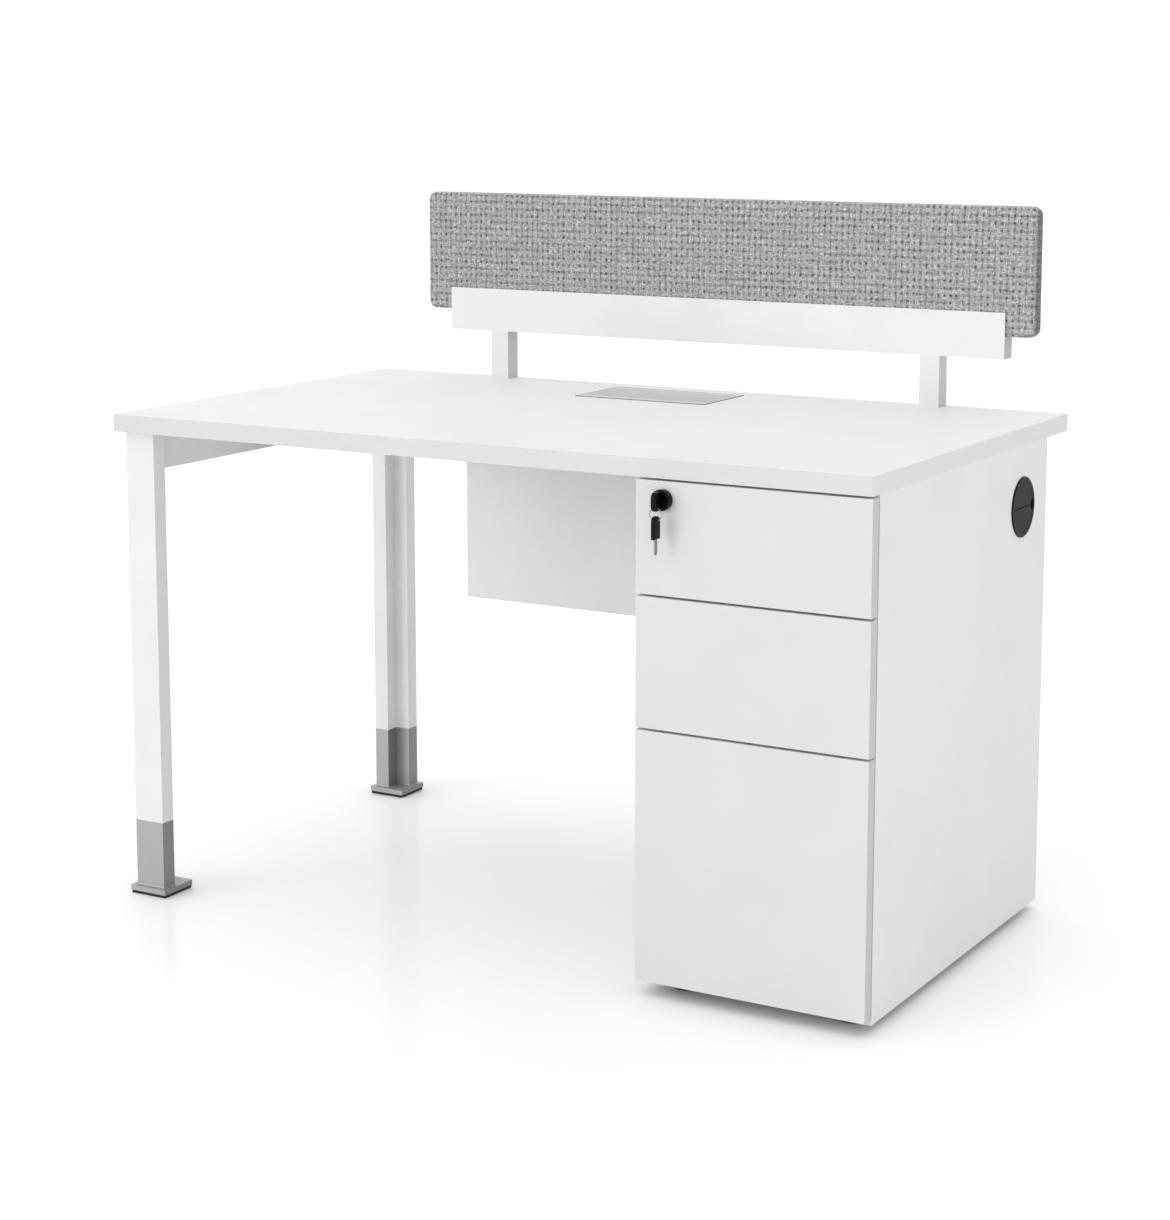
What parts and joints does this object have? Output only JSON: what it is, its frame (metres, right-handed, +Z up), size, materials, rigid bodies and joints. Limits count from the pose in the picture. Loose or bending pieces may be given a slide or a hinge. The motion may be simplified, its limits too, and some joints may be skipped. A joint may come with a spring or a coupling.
{
  "type": "cubicle workstation",
  "caption": "Straight white office workstation with two left legs, a lockable drawer pedestal on the right, a flush power box and a low grey fabric screen along the back edge.",
  "frame": {"origin": "centre of the bounding box, on the floor", "axes": "+X to the right along the front edge as the user sits, +Y from the front edge to the screen, +Z up"},
  "size_m": [1.2024, 0.729, 1.0193],
  "materials": {
    "white_board": "white melamine-faced board",
    "white_edging": "white plastic edge band",
    "drawer_front_white": "satin white lacquered board",
    "white_frame_paint": "white powder coat",
    "grey_foot": "satin grey powder coat",
    "black_rubber": "black rubber",
    "bracket_steel": "dark grey powder coat",
    "glide_black": "black moulded plastic",
    "drawer_box_grey": "light grey powder coat",
    "zinc_steel": "zinc-plated steel",
    "lock_black": "glossy black plastic",
    "key_steel": "nickel-plated steel",
    "ring_chrome": "bright wire",
    "grommet_black": "near-black moulded plastic",
    "grommet_grey": "dark grey moulded plastic",
    "power_aluminium": "satin anodised aluminium",
    "tray_dark": "dark grey powder coat",
    "socket_white": "white moulded plastic",
    "screen_fabric": "light grey woven upholstery cloth"
  },
  "bodies": {
    "desk": {"desktop": "white_board", "modesty_panel": "white_board", "pedestal_left_side": "white_board", "pedestal_right_side": "white_board", "pedestal_back": "white_board", "pedestal_bottom": "white_board", "pedestal_lock_rail": "white_board", "pedestal_back_rail": "white_board", "desktop_edge_band": "white_edging", "front_leg": "white_frame_paint", "back_leg": "white_frame_paint", "side_rail": "white_frame_paint", "cross_beam": "white_frame_paint", "screen_channel": "white_frame_paint", "screen_post_left": "white_frame_paint", "screen_post_right": "white_frame_paint", "front_leg_foot": "grey_foot", "back_leg_foot": "grey_foot", "front_foot_pad": "black_rubber", "back_foot_pad": "black_rubber", "beam_bracket_left": "bracket_steel", "beam_bracket_right": "bracket_steel", "modesty_angle_left": "bracket_steel", "modesty_angle_right": "bracket_steel", "pedestal_glides": "glide_black", "upper_left_slide_cabinet": "zinc_steel", "upper_right_slide_cabinet": "zinc_steel", "middle_left_slide_cabinet": "zinc_steel", "middle_right_slide_cabinet": "zinc_steel", "file_left_slide_cabinet": "zinc_steel", "file_right_slide_cabinet": "zinc_steel", "grommet_ring": "grommet_black", "power_frame": "power_aluminium", "power_tray": "tray_dark", "socket_strip": "socket_white", "screen_panel": "screen_fabric"},
    "upper_drawer": {"upper_drawer_front": "drawer_front_white", "upper_drawer_box": "drawer_box_grey", "upper_left_slide_drawer": "zinc_steel", "upper_right_slide_drawer": "zinc_steel", "lock_body": "lock_black"},
    "middle_drawer": {"middle_drawer_front": "drawer_front_white", "middle_drawer_box": "drawer_box_grey", "middle_left_slide_drawer": "zinc_steel", "middle_right_slide_drawer": "zinc_steel"},
    "file_drawer": {"file_drawer_front": "drawer_front_white", "file_drawer_box": "drawer_box_grey", "file_left_slide_drawer": "zinc_steel", "file_right_slide_drawer": "zinc_steel"},
    "file_slide_middle_pair": {"file_slide_middles": "zinc_steel"},
    "lock_barrel": {"lock_plug": "lock_black", "lock_cam": "zinc_steel", "key_blade": "key_steel", "key_head": "lock_black"},
    "key_ring": {"key_ring": "ring_chrome"},
    "spare_key": {"spare_key_head": "lock_black", "spare_key_blade": "key_steel"},
    "grommet_upper_flap": {"grommet_upper_flap": "grommet_grey"},
    "grommet_lower_flap": {"grommet_lower_flap": "grommet_grey"},
    "power_lid": {"power_lid": "power_aluminium"}
  },
  "joints": [
    {"name": "upper_drawer_slide", "type": "slide", "parent": "desk", "child": "upper_drawer", "axis": [0, -1, 0], "range_m": [0, 0.29]},
    {"name": "middle_drawer_slide", "type": "slide", "parent": "desk", "child": "middle_drawer", "axis": [0, -1, 0], "range_m": [0, 0.29]},
    {"name": "file_drawer_slide", "type": "slide", "parent": "desk", "child": "file_drawer", "axis": [0, -1, 0], "range_m": [0, 0.38]},
    {"name": "file_middle_slide", "type": "slide", "parent": "desk", "child": "file_slide_middle_pair", "axis": [0, -1, 0], "range_m": [0, 0.19]},
    {"name": "lock_turn", "type": "hinge", "parent": "upper_drawer", "child": "lock_barrel", "pos_m": [0.30675, -0.3355, 0.668], "axis": [0, -1, 0], "range_deg": [0, 90]},
    {"name": "key_ring_swing", "type": "hinge", "parent": "lock_barrel", "child": "key_ring", "pos_m": [0.30675, -0.3555, 0.66], "axis": [-1, 0, 0], "range_deg": [-12, 55]},
    {"name": "spare_key_swing", "type": "hinge", "parent": "key_ring", "child": "spare_key", "pos_m": [0.30675, -0.3555, 0.6515], "axis": [0, 1, 0], "range_deg": [-80, 80]},
    {"name": "grommet_upper_flap_hinge", "type": "hinge", "parent": "desk", "child": "grommet_upper_flap", "pos_m": [0.60095, 0.1845, 0.6085], "axis": [0, 1, 0], "range_deg": [0, 85]},
    {"name": "grommet_lower_flap_hinge", "type": "hinge", "parent": "desk", "child": "grommet_lower_flap", "pos_m": [0.60095, 0.1845, 0.6075], "axis": [0, -1, 0], "range_deg": [0, 85]},
    {"name": "power_lid_hinge", "type": "hinge", "parent": "desk", "child": "power_lid", "pos_m": [-0.01725, 0.3099, 0.7192], "axis": [-1, 0, 0], "range_deg": [0, 95]}
  ],
  "couplings": [
    {"joint": "file_middle_slide", "follows": "file_drawer_slide", "ratio": 0.5}
  ]
}
